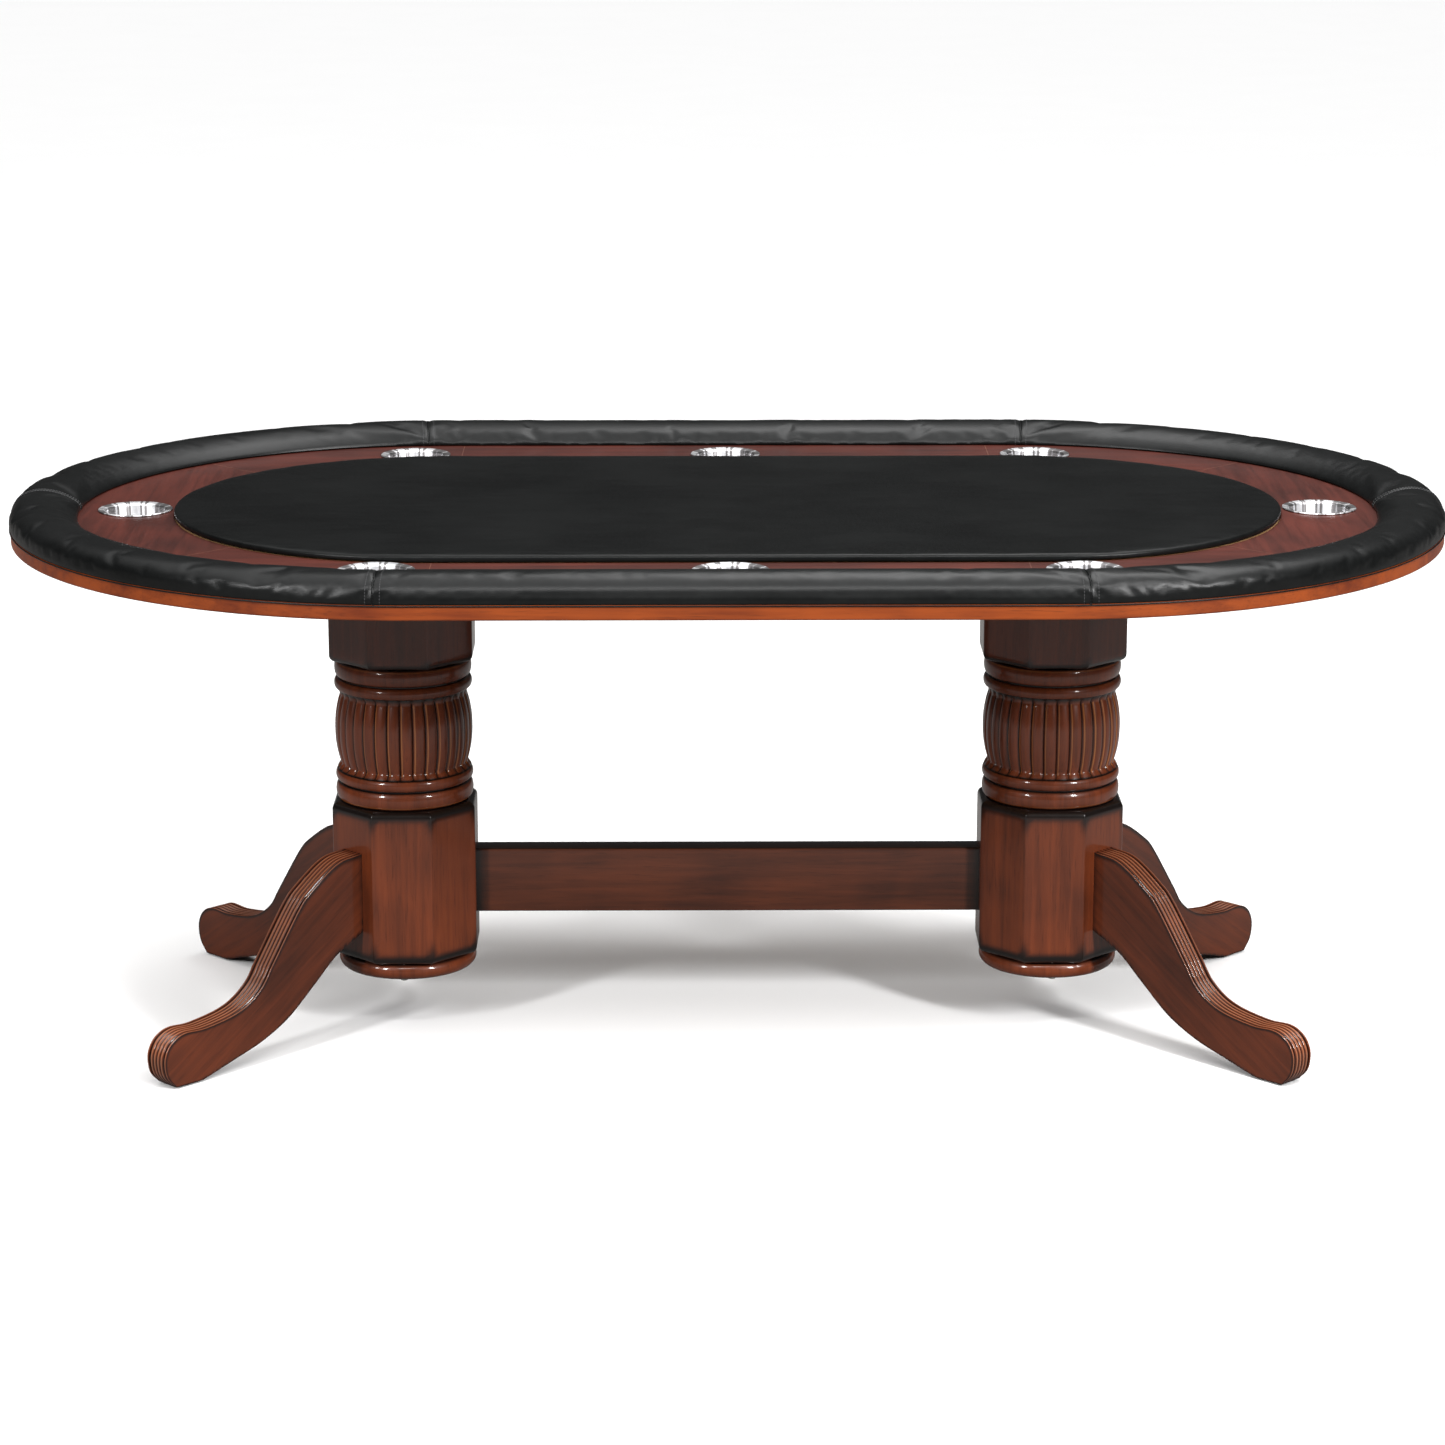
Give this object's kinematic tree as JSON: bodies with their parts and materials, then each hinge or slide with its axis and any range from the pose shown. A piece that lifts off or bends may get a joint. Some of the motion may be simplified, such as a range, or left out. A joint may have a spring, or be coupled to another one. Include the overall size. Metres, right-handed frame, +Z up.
{
  "type": "poker table",
  "caption": "Poker table with round ends, padded vinyl rail, wood racetrack with steel cup holders, raised vinyl playfield, and turned pedestals with scrolled reeded legs.",
  "frame": {"origin": "on the floor under the middle of the table", "axes": "+X along the table's length, -Y towards the front, +Z up"},
  "size_m": [2.08, 1.226, 0.8021],
  "materials": {
    "rail_vinyl": "soft black vinyl with a fine grain",
    "playfield_vinyl": "black vinyl with a fine creased grain",
    "edge_wood": "orange-brown stained hardwood, satin lacquer",
    "racetrack_veneer": "dark red-brown veneer, satin lacquer",
    "pedestal_wood": "glossy brown stained hardwood with darkened edges",
    "plywood": "bare plywood",
    "stainless": "bright drawn stainless steel",
    "zinc_steel": "zinc-plated",
    "nylon": "moulded nylon"
  },
  "bodies": {
    "table": {"table_bed": "plywood", "racetrack_panel_front_left": "racetrack_veneer", "racetrack_panel_front_middle": "racetrack_veneer", "racetrack_panel_front_right": "racetrack_veneer", "racetrack_panel_back_left": "racetrack_veneer", "racetrack_panel_back_middle": "racetrack_veneer", "racetrack_panel_back_right": "racetrack_veneer", "racetrack_panel_left_end": "racetrack_veneer", "racetrack_panel_right_end": "racetrack_veneer", "playfield_board": "plywood", "playfield_pad": "playfield_vinyl", "edge_band_front": "edge_wood", "edge_band_back": "edge_wood", "edge_band_left_end": "edge_wood", "edge_band_right_end": "edge_wood", "rail_core_front": "plywood", "rail_core_back": "plywood", "rail_core_left_end": "plywood", "rail_core_right_end": "plywood", "rail_cushion_front_left": "rail_vinyl", "rail_cushion_front_middle": "rail_vinyl", "rail_cushion_front_right": "rail_vinyl", "rail_cushion_back_left": "rail_vinyl", "rail_cushion_back_middle": "rail_vinyl", "rail_cushion_back_right": "rail_vinyl", "batten_front": "pedestal_wood", "batten_back": "pedestal_wood", "top_plate_left": "pedestal_wood", "column_head_left": "pedestal_wood", "column_vase_left": "pedestal_wood", "column_base_left": "pedestal_wood", "base_moulding_left": "pedestal_wood", "top_plate_right": "pedestal_wood", "column_head_right": "pedestal_wood", "column_vase_right": "pedestal_wood", "column_base_right": "pedestal_wood", "base_moulding_right": "pedestal_wood", "leg_front_left": "pedestal_wood", "leg_front_right": "pedestal_wood", "leg_back_left": "pedestal_wood", "leg_back_right": "pedestal_wood", "stretcher": "pedestal_wood", "tie_rods": "zinc_steel", "base_screws": "zinc_steel", "rail_screws": "zinc_steel", "playfield_screws": "zinc_steel", "bed_screws": "zinc_steel", "leg_bolts": "zinc_steel", "leg_nuts": "zinc_steel", "stretcher_bolts": "zinc_steel", "foot_glides": "nylon"},
    "cup_front_left": {"cup_holder_front_left": "stainless"},
    "cup_front_middle": {"cup_holder_front_middle": "stainless"},
    "cup_front_right": {"cup_holder_front_right": "stainless"},
    "cup_back_left": {"cup_holder_back_left": "stainless"},
    "cup_back_middle": {"cup_holder_back_middle": "stainless"},
    "cup_back_right": {"cup_holder_back_right": "stainless"},
    "cup_left_end": {"cup_holder_left_end": "stainless"},
    "cup_right_end": {"cup_holder_right_end": "stainless"}
  },
  "joints": [
    {"name": "cup_lift_front_left", "type": "slide", "parent": "table", "child": "cup_front_left", "axis": [0, 0, 1], "range_m": [0, 0.12]},
    {"name": "cup_lift_front_middle", "type": "slide", "parent": "table", "child": "cup_front_middle", "axis": [0, 0, 1], "range_m": [0, 0.12]},
    {"name": "cup_lift_front_right", "type": "slide", "parent": "table", "child": "cup_front_right", "axis": [0, 0, 1], "range_m": [0, 0.12]},
    {"name": "cup_lift_back_left", "type": "slide", "parent": "table", "child": "cup_back_left", "axis": [0, 0, 1], "range_m": [0, 0.12]},
    {"name": "cup_lift_back_middle", "type": "slide", "parent": "table", "child": "cup_back_middle", "axis": [0, 0, 1], "range_m": [0, 0.12]},
    {"name": "cup_lift_back_right", "type": "slide", "parent": "table", "child": "cup_back_right", "axis": [0, 0, 1], "range_m": [0, 0.12]},
    {"name": "cup_lift_left_end", "type": "slide", "parent": "table", "child": "cup_left_end", "axis": [0, 0, 1], "range_m": [0, 0.12]},
    {"name": "cup_lift_right_end", "type": "slide", "parent": "table", "child": "cup_right_end", "axis": [0, 0, 1], "range_m": [0, 0.12]}
  ]
}
